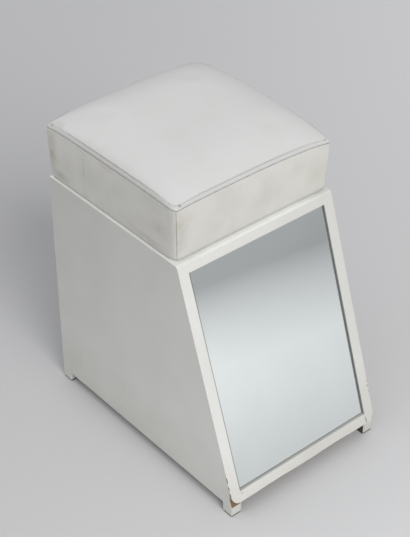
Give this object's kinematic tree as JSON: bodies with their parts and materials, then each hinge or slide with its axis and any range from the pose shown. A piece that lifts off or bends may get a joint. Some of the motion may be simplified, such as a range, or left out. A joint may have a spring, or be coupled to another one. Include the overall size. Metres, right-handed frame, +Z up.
{
  "type": "shoe fitting stool",
  "caption": "Square upholstered seat on a white painted box with a sloping mirror front and small block feet, for trying on shoes.",
  "frame": {"origin": "on the floor, under the middle of the footprint", "axes": "+Z up, +X to the right seen from the mirror side, -Y towards the mirror side"},
  "size_m": [0.3, 0.432, 0.5207],
  "materials": {
    "white_paint": "satin",
    "bare_softwood": "matte",
    "birch_plywood": "matte",
    "rubber_pad": "matte",
    "zinc_plated_screw": "satin",
    "staple_wire": "satin",
    "silvered_glass": "polished",
    "mirror_tape": "matte",
    "seat_foam": "matte",
    "white_leather": "satin"
  },
  "bodies": {
    "root": {"side_panel_left": "white_paint", "side_panel_right": "white_paint", "back_panel": "white_paint", "top_board": "white_paint", "bottom_board": "white_paint", "lipping_left": "white_paint", "lipping_right": "white_paint", "lipping_top": "white_paint", "lipping_bottom": "white_paint", "foot_front_left": "white_paint", "foot_front_right": "white_paint", "foot_back_left": "white_paint", "foot_back_right": "white_paint", "carcass_dowels_left": "bare_softwood", "carcass_dowels_right": "bare_softwood", "glue_blocks_top": "bare_softwood", "glue_blocks_bottom": "bare_softwood", "mirror_batten_left": "bare_softwood", "mirror_batten_right": "bare_softwood", "mirror_batten_top": "bare_softwood", "mirror_batten_bottom": "bare_softwood", "mirror_backing_board": "birch_plywood", "seat_base_board": "birch_plywood", "glide_front_left": "rubber_pad", "glide_front_right": "rubber_pad", "glide_back_left": "rubber_pad", "glide_back_right": "rubber_pad", "foot_screws": "zinc_plated_screw", "backing_board_screws": "zinc_plated_screw", "batten_screws": "zinc_plated_screw", "seat_screws": "zinc_plated_screw", "cover_staples": "staple_wire", "mirror_pane": "silvered_glass", "mirror_tape": "mirror_tape", "seat_foam": "seat_foam", "cover_top_panel": "white_leather", "cover_boxing_front": "white_leather", "cover_boxing_back": "white_leather", "cover_boxing_left": "white_leather", "cover_boxing_right": "white_leather"}
  },
  "joints": []
}
